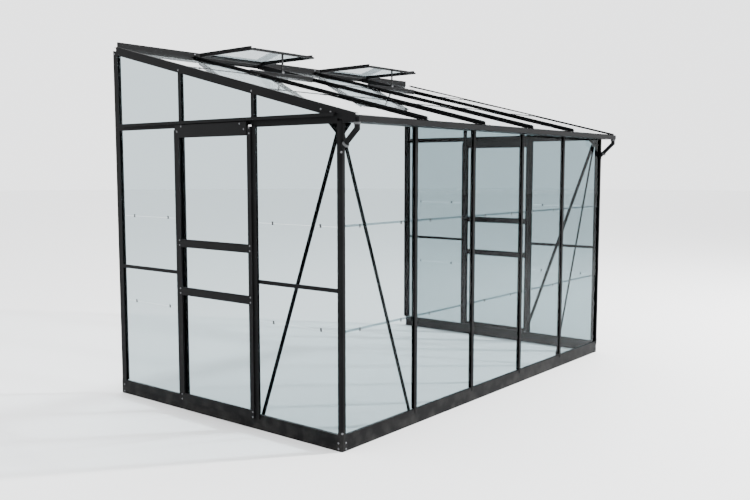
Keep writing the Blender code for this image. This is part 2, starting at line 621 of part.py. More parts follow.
# ---- sliding doors ----
def build_door(side, sign):
    """Framed door hung outside its gable: two stiles, header, two rails, kick rail and two rollers."""
    name = f"door_{side}_frame"
    near, far = DOOR_EDGES
    inner, outer = -DOOR_STANDOFF, -DOOR_STANDOFF - DOOR_THICK
    frame = gable_box(name, sign, (near, far), (DOOR_BOTTOM, DOOR_TOP), (inner, outer),
                      coated(name, DOOR_COLOUR))
    low_y, high_y = near + DOOR_STILE, far - DOOR_STILE
    sills = [DOOR_KICK_TOP] + [rail[1] for rail in DOOR_MID_RAILS]
    heads = [rail[0] for rail in DOOR_MID_RAILS] + [DOOR_TOP - DOOR_HEADER]
    for index, (sill, head) in enumerate(zip(sills, heads)):
        cut(frame, gable_box(f"{name}_light_{index + 1}", sign, (low_y, high_y), (sill, head),
                             (inner + SHEET, outer - SHEET)))
    rebate = inner - DOOR_GLASS_IN
    cut(frame, gable_box(f"{name}_rebate", sign, (low_y - DOOR_REBATE, high_y + DOOR_REBATE),
                         (sills[0] - DOOR_REBATE, heads[-1] + DOOR_REBATE), (inner + SHEET, rebate)))
    for index, (a, b) in enumerate(((near - SHEET, near + DOOR_FLANGE), (far - DOOR_FLANGE, far + SHEET))):
        cut(frame, gable_box(f"{name}_flange_{index + 1}", sign, (a, b), (DOOR_BOTTOM - SHEET,
                                                                         DOOR_TOP + SHEET),
                             (inner - DOOR_FLANGE_THICK, outer - SHEET)))
    for index, (a, b) in enumerate(((near - SHEET, low_y), (far - HEADER_END, far + SHEET))):
        cut(frame, gable_box(f"{name}_stile_top_{index + 1}", sign, (a, b),
                             (DOOR_TOP - DOOR_STILE_DROP, DOOR_TOP + SHEET), (inner + SHEET, outer - SHEET)))
    plate_low, plate_high = DOOR_TOP - DOOR_HEADER + GAP, DOOR_TOP - GAP
    plate_near, plate_far = low_y + GAP, far - HEADER_END - GAP
    header = [(plate_near, plate_low), (plate_far - HEADER_CHAMFER, plate_low),
              (plate_far, plate_low + HEADER_CHAMFER), (plate_far, plate_high), (plate_near, plate_high)]
    fuse(frame, gable_plate(f"{name}_header", sign, header, outer - HEADER_THICK,
                            HEADER_THICK + DOOR_THICK - DOOR_FLANGE_THICK + GAP))
    for index, y in enumerate((near + HANGER_IN, far - HANGER_IN)):
        fuse(frame, *build_hanger(f"{name}_hanger_{index + 1}", sign, y))
    glass = f"door_{side}_glass"
    gable_box(glass, sign, (low_y - DOOR_REBATE + GAP, high_y + DOOR_REBATE - GAP),
              (sills[0] - DOOR_REBATE + GAP, heads[-1] + DOOR_REBATE - GAP),
              (rebate + GAP, rebate + GAP + GLASS), glazed(glass))


def build_hanger(name, sign, y):
    """Strap above the door and the roller that it carries inside the track."""
    middle = -DOOR_STANDOFF - DOOR_THICK / 2
    axle_z = RAIL_TOP - SHEET - ROLLER_RADIUS - ROLLER_PLAY
    strap = gable_box(name, sign, (y - 2 * ROLLER_RADIUS, y + 2 * ROLLER_RADIUS), (DOOR_TOP - SHEET, axle_z),
                      (middle + STRAP_THICK / 2, middle - STRAP_THICK / 2))
    bm = bmesh.new()
    bmesh.ops.create_cone(bm, cap_ends=True, segments=16, radius1=ROLLER_RADIUS, radius2=ROLLER_RADIUS,
                          depth=ROLLER_WIDTH)
    roller = add_object(name + "_roller", bm, None)
    roller.location = (gable_x(sign, middle), y, axle_z)
    roller.rotation_euler = (0, math.pi / 2, 0)
    return strap, roller


# ---- roof vents ----
def build_vent(index, bay):
    """Vent propped open: hinge rail, two side members, lower rail and glass, a stay, and its sill."""
    name = f"roof_vent_{index + 1}"
    x = (BARS_X[bay - 1] + BARS_X[bay]) / 2
    hinge_y = WALL_Y - VENT_HINGE
    hinge = Vector((x, hinge_y, roof_z(hinge_y) + VENT_HINGE_RISE))
    lift = VENT_OPENING - PITCH
    run = Vector((0, -math.cos(lift), math.sin(lift)))
    rise = Vector((0, math.sin(lift), math.cos(lift)))
    axes = ((1, 0, 0), rise, run)
    side_wide, side_high = VENT_SIDE
    rail_wide, rail_high = VENT_RAIL
    half = VENT_WIDTH / 2

    def member(part, left, right, high, start, end, material=None):
        return extrude(part, [(left, 0), (right, 0), (right, high), (left, high)], hinge, axes, end,
                       material, start=start)
    frame = member(name, -half, half, rail_high, 0, rail_wide, coated(name))
    fuse(frame, member(name + "_lower_rail", -half, half, rail_high, VENT_LENGTH - rail_wide, VENT_LENGTH))
    for side, sign in SIDES:
        edges = sorted((sign * half, sign * (half - side_wide)))
        fuse(frame, member(f"{name}_side_{side}", *edges, side_high, 0, VENT_LENGTH - VENT_SIDE_END))
    glass = name + "_glass"
    inner = half - side_wide - GAP
    extrude(glass, [(-inner, rail_high + GAP), (inner, rail_high + GAP), (inner, rail_high + GAP + GLASS),
                    (-inner, rail_high + GAP + GLASS)], hinge, axes, VENT_LENGTH, glazed(glass), start=0)
    sill_wide, sill_high = VENT_SILL
    span = FRONT_BAY / 2 - max(CAP_WIDTH, WING_WIDTH) / 2 - GAP
    foot_y = VENT_SILL_Y + sill_wide / 2
    sill = slope_extrude(name + "_sill", [(-span, -VENT_SILL_RISE), (span, -VENT_SILL_RISE),
                                          (span, sill_high - VENT_SILL_RISE),
                                          (-span, sill_high - VENT_SILL_RISE)],
                         x, (1, 0, 0), VENT_SILL_Y, VENT_SILL_Y + sill_wide)
    stay_wide, stay_thick = VENT_STAY
    stay = box(name + "_stay", (x - stay_wide / 2, foot_y - stay_thick / 2, roof_z(foot_y)),
               (x + stay_wide / 2, foot_y + stay_thick / 2, hinge.z + VENT_LENGTH * math.sin(lift)
                + rail_high / 2))
    fuse(frame, sill, stay)


def build_all():
    for obj in list(bpy.data.objects):
        bpy.data.objects.remove(obj)
    build_base()
    for side, sign in SIDES:
        build_corner_post(side, sign)
        build_wall_post(side, sign)
        build_jamb(side, sign, "front", JAMBS[0])
        build_jamb(side, sign, "rear", JAMBS[1])
        build_gable_rail(side, sign)
        build_rafter(side, sign)
        build_outlet(side, sign)
        build_muntin(side, sign, "front", FRONT_Y + POST_FACE, JAMBS[0] - CAP_WIDTH / 2)
        build_muntin(side, sign, "rear", JAMBS[1] + CAP_WIDTH / 2, WALL_Y - WALL_POST_FACE)
        build_braces(side, sign)
        build_gable_glass(side, sign)
        build_door(side, sign)
    for index, x in enumerate(BARS_X):
        build_front_bar(index, x)
        build_roof_bar(index, x)
    build_gutter()
    build_ridge()
    build_front_glass()
    build_roof_glass()
    for index, bay in enumerate(VENT_BAYS):
        build_vent(index, bay)


build_all()
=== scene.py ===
# %% [markdown]
# # Lean-to garden greenhouse
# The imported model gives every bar, rail, post and door leaf at its true size. This lesson dresses it:
# powder coating for the metal, lapped panes for the glass, and the bolts, clips, seals and collars
# that hold such a greenhouse together. Everything is in metres, X along the house wall, Y towards it
# and Z up, so a new piece goes where the model's own boxes say.

# %% Load the frame
import math

import bmesh
import bpy
from mathutils import Matrix, Vector


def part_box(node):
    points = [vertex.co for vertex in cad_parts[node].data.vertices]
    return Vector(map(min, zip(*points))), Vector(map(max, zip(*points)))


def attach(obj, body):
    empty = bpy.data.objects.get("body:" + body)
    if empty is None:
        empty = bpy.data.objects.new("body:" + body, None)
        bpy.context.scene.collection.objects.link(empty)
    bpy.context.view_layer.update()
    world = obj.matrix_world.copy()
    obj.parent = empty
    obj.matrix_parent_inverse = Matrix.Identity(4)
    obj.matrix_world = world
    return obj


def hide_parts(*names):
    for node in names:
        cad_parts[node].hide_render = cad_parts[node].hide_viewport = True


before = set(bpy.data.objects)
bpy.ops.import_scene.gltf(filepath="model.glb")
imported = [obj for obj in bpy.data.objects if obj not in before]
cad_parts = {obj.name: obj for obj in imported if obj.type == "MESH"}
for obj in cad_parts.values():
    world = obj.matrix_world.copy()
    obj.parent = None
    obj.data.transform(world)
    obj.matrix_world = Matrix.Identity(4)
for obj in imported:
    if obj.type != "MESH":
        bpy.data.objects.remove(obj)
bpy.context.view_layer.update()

# %% [markdown]
# The camera comes first, because it says which details will be seen large. It stands a little above
# the gutter, near the left front corner, and looks along both the gable and the front.

# %% Camera
camera = bpy.data.objects.new("camera", bpy.data.cameras.new("camera"))
bpy.context.scene.collection.objects.link(camera)
camera.location = (-4.8638, -3.7450, 1.4831)
camera.rotation_euler = [math.radians(turn) for turn in (84.566, 0.0, -51.386)]
camera.data.sensor_width = 36.0
camera.data.lens = 40.52
bpy.context.scene.camera = camera
print("camera lens", camera.data.lens)

# %% [markdown]
# Places that many pieces share are read from the model: the ends and front of the base, the house
# wall, the bays, and the roof line. The roof rises one in four, and its line is the outer face of the
# glazing bars' caps, so a depth under it is divided by the cosine of the pitch.

# %% Shared places
base_low, base_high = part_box("base_front")
FRONT, BASE_TOP, END = base_low.y, base_high.z, base_high.x
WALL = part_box("wall_post_left")[1].y
SLOPE = 0.25
PITCH = math.atan(SLOPE)
SIDES = (("left", -1), ("right", 1))
BARS_X = [sum(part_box(f"front_bar_{n}")[k].x for k in (0, 1)) / 2 for n in (1, 2, 3, 4)]
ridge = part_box("ridge_bar")
pane_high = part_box("roof_glass_3")[1]
ROOF_AT_FRONT = pane_high.z + 0.0067 / math.cos(PITCH) - SLOPE * (pane_high.y - FRONT)


def roof_z(y, below=0.0):
    return ROOF_AT_FRONT + SLOPE * (y - FRONT) - below / math.cos(PITCH)


print(f"base ends at {END:.4f}, front at {FRONT:.4f}, roof line {ROOF_AT_FRONT:.4f} over the front")

# %% [markdown]
# Shader maths reads best as plain sums. `Value` wraps a socket, so an expression on values adds Math
# nodes, and `Finish.add` is the one way in for every other node: its type, its settings, its sockets.

# %% Shader maths
class Value:
    def __init__(self, finish, socket):
        self.finish, self.socket = finish, socket

    def math(self, operation, *sides):
        return self.finish.add("Math", {"operation": operation}, dict(enumerate(sides)))

    def __add__(self, other):
        return self.math("ADD", self, other)

    def __mul__(self, other):
        return self.math("MULTIPLY", self, other)

    __radd__, __rmul__ = __add__, __mul__


class Finish:
    def __init__(self, name, constants):
        self.material = bpy.data.materials.new(name)
        self.material.use_nodes = True
        self.tree = self.material.node_tree
        self.shader = self.tree.nodes["Principled BSDF"]
        for socket, value in constants.items():
            self.shader.inputs[socket].default_value = value

    def add(self, kind, settings, sockets, output=0):
        node = self.tree.nodes.new("ShaderNode" + kind)
        for key, value in settings.items():
            setattr(node, key, value)
        for key, value in sockets.items():
            self.join(value, node.inputs[key])
        return Value(self, node.outputs[output])

    def join(self, value, socket):
        if isinstance(value, Value):
            self.tree.links.new(value.socket, socket)
        else:
            socket.default_value = value

    def drive(self, **links):
        for socket, value in links.items():
            self.join(value, self.shader.inputs[socket.replace("_", " ")])

    def place(self):
        return self.add("TexCoord", {}, {}, output=3)

    def noise(self, scale, detail=3.0, stretch=(1, 1, 1)):
        spot = self.add("Mapping", {}, {"Vector": self.place(), "Scale": stretch})
        return self.add("TexNoise", {}, {"Vector": spot, "Scale": scale, "Detail": detail})

    def ramp(self, value, low, high):
        return self.add("MapRange", {"clamp": True}, {"Value": value, "From Min": low, "From Max": high})

    def blend(self, share, first, second):
        return self.add("Mix", {"data_type": "RGBA"}, {0: share, 6: first, 7: second}, output=2)

    def bump(self, height, strength, distance):
        return self.add("Bump", {}, {"Height": height, "Strength": strength, "Distance": distance})


print("shader helpers ready")

# %% [markdown]
# The aluminium is powder coated in a satin near-black. Powder coating isn't flat: it has a fine
# orange peel about a millimetre across, the sheen drifts slightly along a bar, and rain splash leaves
# a trace of pale dust near the ground. The peel is a bump, the drift goes into roughness, and the dust
# is a mask made from the height of the point.

# %% Powder coating
def powder_coat(name, dark, light, sheen):
    finish = Finish(name, {"Metallic": 0.0, "Specular IOR Level": 0.05})
    drift = finish.ramp(finish.noise(5.0, 4.0), 0.35, 0.65)
    grain = finish.noise(260.0, 2.0)
    height = finish.add("SeparateXYZ", {}, {0: finish.place()}, output=2)
    dust = finish.ramp(height, 0.16, 0.0) * finish.ramp(finish.noise(14.0, 6.0), 0.42, 0.72) * 0.05
    colour = finish.blend(drift, dark, light)
    finish.drive(Base_Color=finish.blend(dust, colour, (0.30, 0.29, 0.27, 1)),
                 Roughness=sheen + 0.10 * drift + 0.06 * grain + 0.25 * dust,
                 Normal=finish.bump(finish.noise(900.0, 2.0), 0.10, 0.0004))
    return finish.material


frame_coat = powder_coat("frame_powder_coat", (0.0022, 0.0023, 0.0026, 1), (0.0040, 0.0041, 0.0044, 1), 0.42)
door_coat = powder_coat("door_powder_coat", (0.0030, 0.0031, 0.0034, 1), (0.0048, 0.0049, 0.0052, 1), 0.42)
print("coatings:", frame_coat.name, door_coat.name)

# %% [markdown]
# Horticultural glass is clear with a cool tint, and its cut edges look sea green because there the
# eye looks along the sheet. The wall and door panes get a much darker grey tint than clear glass:
# painted shade for a shaded house wall, not in the scene, seen through them. The vent panes are darker
# still, painted shade for that wall reflected in them. A real glass shader bends the view and mirrors
# the sky at a low angle, which makes the roof look white. Lamps would be blocked by it, so for shadow
# rays the shader is a plain see-through one with a lighter tint of its own. Faint smears vary the
# roughness. The wall panes bend light less than real glass, 1.08 against about 1.5, so that the bars
# seen through two of them stay dark.

# %% Glass
def sheet_glass(name, tint_and_painted_shade, shade, smear, bend=1.08):
    finish = Finish(name, {"Base Color": tint_and_painted_shade, "Transmission Weight": 1.0, "IOR": bend})
    smears = finish.ramp(finish.noise(7.0, 5.0, stretch=(1, 1, 0.35)), 0.5, 0.8)
    finish.drive(Roughness=0.004 + smear * smears)
    clear = finish.add("BsdfTransparent", {}, {"Color": shade})
    shadow = finish.add("LightPath", {}, {}, output=1)
    mixed = finish.add("MixShader", {}, {0: shadow, 1: Value(finish, finish.shader.outputs[0]), 2: clear})
    finish.join(mixed, finish.tree.nodes["Material Output"].inputs["Surface"])
    return finish.material


# The wall and door panes' dark grey tint is painted shade for a shaded house wall seen through them.
pane_glass_painted_shade = sheet_glass("wall_glass_painted_shade", (0.42, 0.49, 0.51, 1), (0.80, 0.83, 0.84, 1), 0.012)
roof_glass = sheet_glass("roof_glass", (0.72, 0.79, 0.81, 1), (0.86, 0.89, 0.90, 1), 0.05, bend=1.5)
# The vent panes' darker tint is painted shade for the shaded house wall reflected in them.
vent_glass_painted_shade = sheet_glass("vent_glass_painted_shade", (0.35, 0.41, 0.43, 1), (0.80, 0.83, 0.84, 1), 0.02)
edge_glass = sheet_glass("cut_glass_edge", (0.04, 0.09, 0.085, 1), (0.50, 0.62, 0.60, 1), 0.10)
print("glass:", pane_glass_painted_shade.name, edge_glass.name)

# %% [markdown]
# Four small finishes are left: steel bolts with a dark plating that clouds a little, blued spring-steel
# clips drawn in one direction, soft black rubber for seals, and the grey nylon of rollers and collars.

# %% Metal, rubber and nylon
def plated_steel(name, colour, sheen, stretch):
    finish = Finish(name, {"Base Color": colour, "Metallic": 1.0})
    cloud = finish.noise(380.0, 3.0, stretch=stretch)
    finish.drive(Base_Color=finish.blend(cloud, colour, tuple(0.6 * part for part in colour[:3]) + (1,)),
                 Roughness=sheen + 0.22 * cloud, Normal=finish.bump(cloud, 0.12, 0.0003))
    return finish.material


def moulded(name, colour, sheen, grain):
    finish = Finish(name, {"Base Color": colour})
    mottle = finish.noise(40.0, 4.0)
    finish.drive(Base_Color=finish.blend(mottle, colour, tuple(1.7 * part for part in colour[:3]) + (1,)),
                 Roughness=sheen + 0.12 * mottle, Normal=finish.bump(finish.noise(grain, 2.0), 0.2, 0.0003))
    return finish.material


bolt_steel = plated_steel("darkened_steel_bolt", (0.13, 0.132, 0.138, 1), 0.24, (1, 1, 1))
spring_steel = plated_steel("spring_steel_clip", (0.05, 0.052, 0.054, 1), 0.26, (1, 1, 0.1))
rubber = moulded("seal_rubber", (0.010, 0.010, 0.011, 1), 0.62, 500.0)
nylon = moulded("moulded_nylon", (0.022, 0.023, 0.025, 1), 0.40, 300.0)
print("small finishes:", bolt_steel.name, spring_steel.name, rubber.name, nylon.name)

# %% [markdown]
# The metal of the model keeps its shape and only gets its finish. Door leaves are one shade lighter.
# The sheets of glass stay hidden for now, because each is replaced by real panes below.

# %% Finish the model's own metal
for name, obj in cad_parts.items():
    finish = door_coat if name.startswith("door_") else frame_coat
    for place in obj.material_slots:
        place.material = finish
print("coated", sum("glass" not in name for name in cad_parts), "nodes")

# %% [markdown]
# Every new piece ends the same way: normals outward, a mesh at the origin, its materials and the body
# that it rides on. Small shapes are made once and stamped in many places.

# %% From bmesh to piece
def piece(name, bm, materials, body="frame", smooth=True):
    bmesh.ops.recalc_face_normals(bm, faces=bm.faces)
    mesh = bpy.data.meshes.new(name)
    bm.to_mesh(mesh)
    bm.free()
    if smooth:
        mesh.shade_smooth()
        mesh.set_sharp_from_angle(angle=math.radians(32))
    obj = bpy.data.objects.new(name, mesh)
    bpy.context.scene.collection.objects.link(obj)
    for material in materials:
        mesh.materials.append(material)
    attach(obj, body)
    if not mesh.polygons:
        raise ValueError(name + " has no faces")
    print(f"{name}: {len(mesh.polygons)} faces")
    return obj


def soften(bm, width, segments=1, edges=None):
    bmesh.ops.bevel(bm, geom=list(edges or bm.edges), affect="EDGES", offset=width, segments=segments,
                    profile=0.5, material=-1, clamp_overlap=True)


def block(low, high, width=0.0008):
    """Plate or block between two corners with softened edges."""
    bm = bmesh.new()
    bmesh.ops.create_cube(bm, size=1.0)
    bmesh.ops.scale(bm, verts=bm.verts, vec=[abs(h - l) for l, h in zip(low, high)])
    bmesh.ops.translate(bm, verts=bm.verts, vec=[(l + h) / 2 for l, h in zip(low, high)])
    soften(bm, width)
    return bm


def stamp(target, shape, matrix=Matrix()):
    """Add a copy of a shape to a bmesh."""
    mesh = bpy.data.meshes.new("stamp")
    shape.to_mesh(mesh)
    mesh.transform(matrix)
    target.from_mesh(mesh)
    bpy.data.meshes.remove(mesh)


def gathered(shapes):
    bm = bmesh.new()
    for shape in shapes:
        stamp(bm, shape)
        shape.free()
    return bm


# %% [markdown]
# ## Panes
# On the front and the roof each bay holds several panes that overlap like slates, so the foot of each
# pane sits outside the head of the one below. In the glazing slot there are seven millimetres for two
# three-millimetre panes. A pane is one flat outline cut to its band with `bisect_plane`, pushed to its
# thickness and given a tiny arris; then its foot is tilted outwards.

# %% Cutting a pane
def pane(outline, inward, along, band, tilt=0.0):
    """One pane: outline of the outer face, direction into the house, and its band along a direction."""
    inward, along = Vector(inward), Vector(along)
    low, high = band
    bm = bmesh.new()
    bm.faces.new([bm.verts.new(point) for point in outline])
    for distance, side in ((low, -1), (high, 1)):
        bmesh.ops.bisect_plane(bm, geom=bm.verts[:] + bm.edges[:] + bm.faces[:], plane_co=along * distance,
                               plane_no=along * side, clear_outer=True)
    grown = bmesh.ops.extrude_face_region(bm, geom=bm.faces[:])["geom"]
    bmesh.ops.translate(bm, verts=[v for v in grown if isinstance(v, bmesh.types.BMVert)],
                        vec=inward * 0.003)
    bmesh.ops.recalc_face_normals(bm, faces=bm.faces)
    soften(bm, 0.0005)
    for face in bm.faces:
        face.material_index = int(abs(face.normal.dot(inward)) < 0.5)
    for vert in bm.verts:
        share = (high - vert.co.dot(along)) / (high - low)
        vert.co -= inward * tilt * share
    return bm


LAPS = (0.633, 1.187)
LAP = 0.012
print("laps at", LAPS)

# %% [markdown]
# The front panes stand in the five bays between base and gutter.

# %% Front panes
front_clips = []
for n in range(1, 6):
    low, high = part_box(f"front_glass_{n}")
    face = [(low.x, low.y, low.z), (high.x, low.y, low.z), (high.x, low.y, high.z), (low.x, low.y, high.z)]
    stops = [low.z, *LAPS, high.z]
    shapes = []
    for k, (foot, head) in enumerate(zip(stops, stops[1:])):
        top = head + (LAP if k < 2 else 0)
        shapes.append(pane(face, (0, 1, 0), (0, 0, 1), (foot, top), tilt=0.0034 if k else 0.0))
    panes = piece(f"front_panes_{n}", gathered(shapes), [pane_glass_painted_shade, edge_glass], smooth=False)
    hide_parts(f"front_glass_{n}")
    for lap in LAPS:
        for x in (low.x + 0.138, high.x - 0.138):
            front_clips.append((x, low.y - 0.0036, lap))

# %% [markdown]
# Roof panes do the same up the slope. `up` points up the roof and `down` into the house.

# %% Roof panes
up = Vector((0, math.cos(PITCH), math.sin(PITCH)))
down = Vector((0, math.sin(PITCH), -math.cos(PITCH)))
roof_clips = []
for n in range(1, 6):
    low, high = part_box(f"roof_glass_{n}")
    z_low, z_high = roof_z(low.y, 0.0067), roof_z(high.y, 0.0067)
    face = [(low.x, low.y, z_low), (high.x, low.y, z_low), (high.x, high.y, z_high), (low.x, high.y, z_high)]
    first, last = (Vector(face[k]).dot(up) for k in (0, 2))
    count = 2 if last - first < 1.7 else 3
    stops = [first + (last - first) * k / count for k in range(count + 1)]
    shapes = []
    for k, (foot, head) in enumerate(zip(stops, stops[1:])):
        top = head + (LAP if k < count - 1 else 0)
        shapes.append(pane(face, down, up, (foot, top), tilt=0.0032 if k else 0.0))
        if k:
            spot = Vector(face[0]) + up * (foot - first)
            roof_clips += [(x, spot.y, spot.z) for x in (low.x + 0.138, high.x - 0.138)]
    panes = piece(f"roof_panes_{n}", gathered(shapes), [roof_glass, edge_glass], smooth=False)
    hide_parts(f"roof_glass_{n}")

# %% [markdown]
# In the gables the panes butt edge to edge with a hairline gap, because the cross bar of each bay lies
# straight on them. Their tops follow the rafter, and the bay behind the gutter is notched for it.

# %% Gable panes
def under_rafter(y):
    return roof_z(y, 0.0303)


gable_clips = []
eaves_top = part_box("front_glass_1")[1].z
for side, sign in SIDES:
    for bay in ("front", "middle", "rear"):
        low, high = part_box(f"gable_glass_{side}_{bay}")
        x = low.x if sign < 0 else high.x
        beam = FRONT + 0.0263
        corners = [(low.y, low.z), (high.y, low.z), (high.y, under_rafter(high.y))]
        corners += [(beam, under_rafter(beam)), (beam, eaves_top), (low.y, eaves_top)] if bay == "front" \
            else [(low.y, under_rafter(low.y))]
        face = [(x, y, z) for y, z in corners]
        stops = [low.z, *(LAPS if bay != "middle" else ()), high.z]
        gap = [0.0] + [0.0005] * (len(stops) - 2) + [-0.001]
        shapes = [pane(face, (-sign, 0, 0), (0, 0, 1), (a + gap[k], b - gap[k + 1]))
                  for k, (a, b) in enumerate(zip(stops, stops[1:]))]
        panes = piece(f"gable_panes_{side}_{bay}", gathered(shapes), [pane_glass_painted_shade, edge_glass],
                      smooth=False)
        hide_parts(f"gable_glass_{side}_{bay}")
        if bay != "middle":
            gable_clips += [(x + sign * 0.0004, y, lap, sign) for lap in LAPS
                            for y in (low.y + 0.138, high.y - 0.138)]

# %% [markdown]
# Each door leaf has three panes, parted behind the two middle rails, and each vent has one. A vent's
# pane is tilted with its frame, so it is made from the model's own sheet: its loose triangles are
# merged and cleaned before the arris goes on.

# %% Door and vent panes
DOOR_SPLITS = (0.747, 1.040)
for side, sign in SIDES:
    low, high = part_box(f"door_{side}_glass")
    x = low.x if sign < 0 else high.x
    face = [(x, low.y, low.z), (x, high.y, low.z), (x, high.y, high.z), (x, low.y, high.z)]
    stops = [low.z, *DOOR_SPLITS, high.z]
    shapes = [pane(face, (-sign, 0, 0), (0, 0, 1), (a + 0.001, b - 0.001)) for a, b in zip(stops, stops[1:])]
    panes = piece(f"door_panes_{side}", gathered(shapes), [pane_glass_painted_shade, edge_glass], f"door_{side}",
                  smooth=False)
    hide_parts(f"door_{side}_glass")
for n in (1, 2):
    bm = bmesh.new()
    bm.from_mesh(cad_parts[f"roof_vent_{n}_glass"].data)
    bmesh.ops.remove_doubles(bm, verts=bm.verts, dist=1e-5)
    bmesh.ops.dissolve_limit(bm, angle_limit=0.02, verts=bm.verts, edges=bm.edges)
    soften(bm, 0.0005)
    for face in bm.faces:
        face.material_index = int(abs(face.normal.z) < 0.5)
    panes = piece(f"vent_pane_{n}", bm, [vent_glass_painted_shade, edge_glass], smooth=False)
    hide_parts(f"roof_vent_{n}_glass")

# %% [markdown]
# ## Clips
# Small spring-steel clips hook each pane to the next. One is a strip bent like a Z: an open chain of
# four points, extruded to its width and made solid.

# %% Lap clips
def clip():
    bm = bmesh.new()
    chain = [bm.verts.new((-0.006, y, z)) for y, z in ((0.0, -0.008), (0.0, 0.002), (-0.0012, 0.003),
                                                       (-0.0012, 0.012))]
    edges = [bm.edges.new(pair) for pair in zip(chain, chain[1:])]
    grown = bmesh.ops.extrude_edge_only(bm, edges=edges)["geom"]
    bmesh.ops.translate(bm, verts=[v for v in grown if isinstance(v, bmesh.types.BMVert)], vec=(0.012, 0, 0))
    bmesh.ops.solidify(bm, geom=bm.faces[:], thickness=0.0008)
    return bm


shape = clip()
bm = bmesh.new()
for spot in front_clips:
    stamp(bm, shape, Matrix.Translation(spot))
for x, y, z in roof_clips:
    stamp(bm, shape, Matrix.Translation((x, y, z + 0.0042)) @ Matrix.Rotation(PITCH - math.pi / 2, 4, "X"))
for x, y, z, sign in gable_clips:
    stamp(bm, shape, Matrix.Translation((x, y, z)) @ Matrix.Rotation(sign * math.pi / 2, 4, "Z"))
piece("glass_clips", bm, [spring_steel])

# %% [markdown]
# ## Bolts
# Two fastenings are used: a domed bolt head on a washer where it shows outside, and a hexagon nut with
# the end of its thread inside. Both are turned shapes, so half a profile is spun round the axis; the
# nut is a six-sided prism with its corners taken off, stood on a spun washer.

# %% Bolt shapes
def turned(profile, steps=14):
    """Spin a profile of (radius, height) points round Z."""
    bm = bmesh.new()
    verts = [bm.verts.new((radius, 0, height)) for radius, height in profile]
    edges = [bm.edges.new(pair) for pair in zip(verts, verts[1:])]
    bmesh.ops.spin(bm, geom=verts + edges, cent=(0, 0, 0), axis=(0, 0, 1), angle=math.tau, steps=steps,
                   use_merge=True)
    bmesh.ops.remove_doubles(bm, verts=bm.verts, dist=1e-6)
    return bm


def domed_bolt():
    return turned([(0, -0.0005), (0.0075, -0.0005), (0.0075, 0.0010), (0.0068, 0.0014), (0.0058, 0.0014),
                   (0.0058, 0.0026), (0.0046, 0.0042), (0.0026, 0.0051), (0, 0.0054)])


def hexagon_nut():
    bm = bmesh.new()
    bmesh.ops.create_cone(bm, cap_ends=True, segments=6, radius1=0.0062, radius2=0.0062, depth=0.0048)
    bmesh.ops.translate(bm, verts=bm.verts, vec=(0, 0, 0.0038))
    soften(bm, 0.0007)
    washer = turned([(0, -0.0005), (0.0080, -0.0005), (0.0080, 0.0012), (0.0072, 0.0015), (0, 0.0015)])
    thread = turned([(0, 0.004), (0.0030, 0.004), (0.0030, 0.0096), (0.0024, 0.0104), (0, 0.0104)], 10)
    return gathered([bm, washer, thread])


bolt, nut = domed_bolt(), hexagon_nut()
print("bolt", len(bolt.faces), "faces, nut", len(nut.faces))

# %% [markdown]
# A bolt needs only a place and the direction that it points. Each spot is listed once for one end of
# the greenhouse and mirrored by its sign.

# %% Bolts on the frame
def aim(place, direction):
    turn = Vector((0, 0, 1)).rotation_difference(Vector(direction))
    return Matrix.Translation(place) @ turn.to_matrix().to_4x4()


heads, nuts = [], []
for side, sign in SIDES:
    out = (sign, 0, 0)
    heads += [((sign * END, FRONT + 0.027, z), out) for z in (0.045, 0.014)]
    heads += [((sign * (END - 0.029), FRONT, z), (0, -1, 0)) for z in (0.045, 0.012)]
    heads += [((sign * END, WALL - 0.026, 0.014), out), ((sign * END, WALL - 0.026, 0.060), out)]
    post = Vector((sign * (END - 0.0012), FRONT + 0.0012, 0))
    diagonal = Vector((sign, -1, 0)).normalized()
    heads += [(post + Vector((0, 0, z)), diagonal) for z in (0.100, 1.572)]
    heads += [((sign * (END + 0.004), FRONT + y, roof_z(FRONT + y, 0.030)), out) for y in (0.068, 0.136)]
    heads.append(((sign * (END - 0.002), WALL - 0.016, roof_z(WALL, 0.052)), out))
    jambs = [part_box(f"gable_bar_{side}_{place}") for place in ("front", "rear")]
    for low, high in jambs:
        y = (low.y + high.y) / 2
        heads.append(((sign * (END - 0.002), y, 0.102), out))
        heads.append(((sign * (END + 0.004), y, roof_z(y, 0.036)), out))
    for y in (FRONT + 0.058, FRONT + 0.030):
        nuts.append(((sign * (END - 0.0255), y, 1.712), (-sign, 0, 0)))
    for x in (0.058, 0.030):
        nuts.append(((sign * (END - x), FRONT + 0.0255, 1.712), (0, 1, 0)))
    low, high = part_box(f"brace_gable_{side}")
    x = low.x if sign > 0 else high.x
    nuts += [((x, low.y + 0.013, high.z - 0.012), (-sign, 0, 0)),
             ((x, high.y - 0.015, low.z + 0.022), (-sign, 0, 0))]
    low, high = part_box(f"brace_front_{side}")
    near, far = (low.x, high.x) if sign < 0 else (high.x, low.x)
    nuts += [((near - sign * 0.013, high.y, high.z - 0.012), (0, 1, 0)),
             ((far + sign * 0.015, high.y, low.z + 0.022), (0, 1, 0))]
for x in BARS_X:
    heads.append(((x, ridge[0].y, ridge[1].z - 0.016), (0, -1, 0)))
    heads.append(((x, ridge[0].y - 0.030, roof_z(ridge[0].y - 0.030)), -down))
    nuts.append(((x, FRONT + 0.0195, 0.104), (0, 1, 0)))
bm = bmesh.new()
for place, direction in heads:
    stamp(bm, bolt, aim(place, direction) @ Matrix.Scale(0.82, 4))
for place, direction in nuts:
    stamp(bm, nut, aim(place, direction))
piece("frame_bolts", bm, [bolt_steel])

# %% [markdown]
# The doors carry their own bolts: two through each end of the header plate, two through the head and
# foot of each stile.

